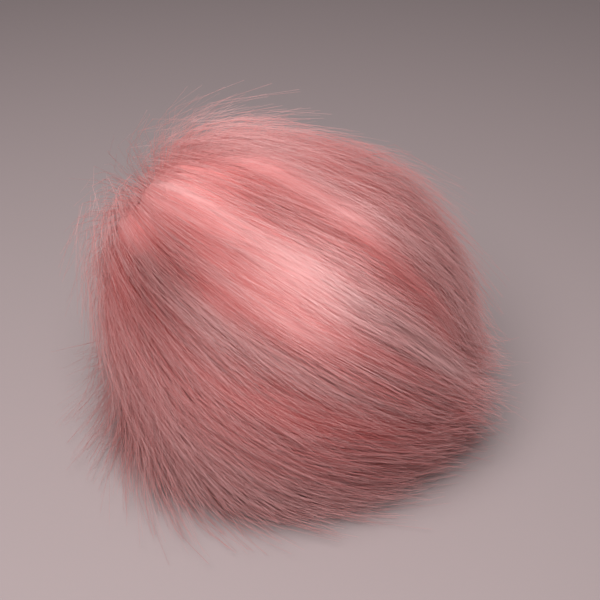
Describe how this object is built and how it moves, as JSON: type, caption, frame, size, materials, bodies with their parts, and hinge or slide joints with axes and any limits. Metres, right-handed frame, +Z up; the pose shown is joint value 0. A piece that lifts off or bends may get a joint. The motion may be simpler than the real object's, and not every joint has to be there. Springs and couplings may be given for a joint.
{
  "type": "faux fur pom pom",
  "caption": "Round pom pom of long pink faux fur, combed from a crown round to a gather and resting on a small flat underside.",
  "frame": {"origin": "middle of the small flat spot under the ball, on the surface it rests on", "axes": "+Z up through the ball, +X along the table towards the side where the combed fur gathers, -Y towards the side that faces the viewer"},
  "size_m": [0.1276, 0.1273, 0.0837],
  "materials": {
    "faux_fur": "long soft pile"
  },
  "bodies": {
    "root": {"pom_pom": "faux_fur"}
  },
  "joints": []
}
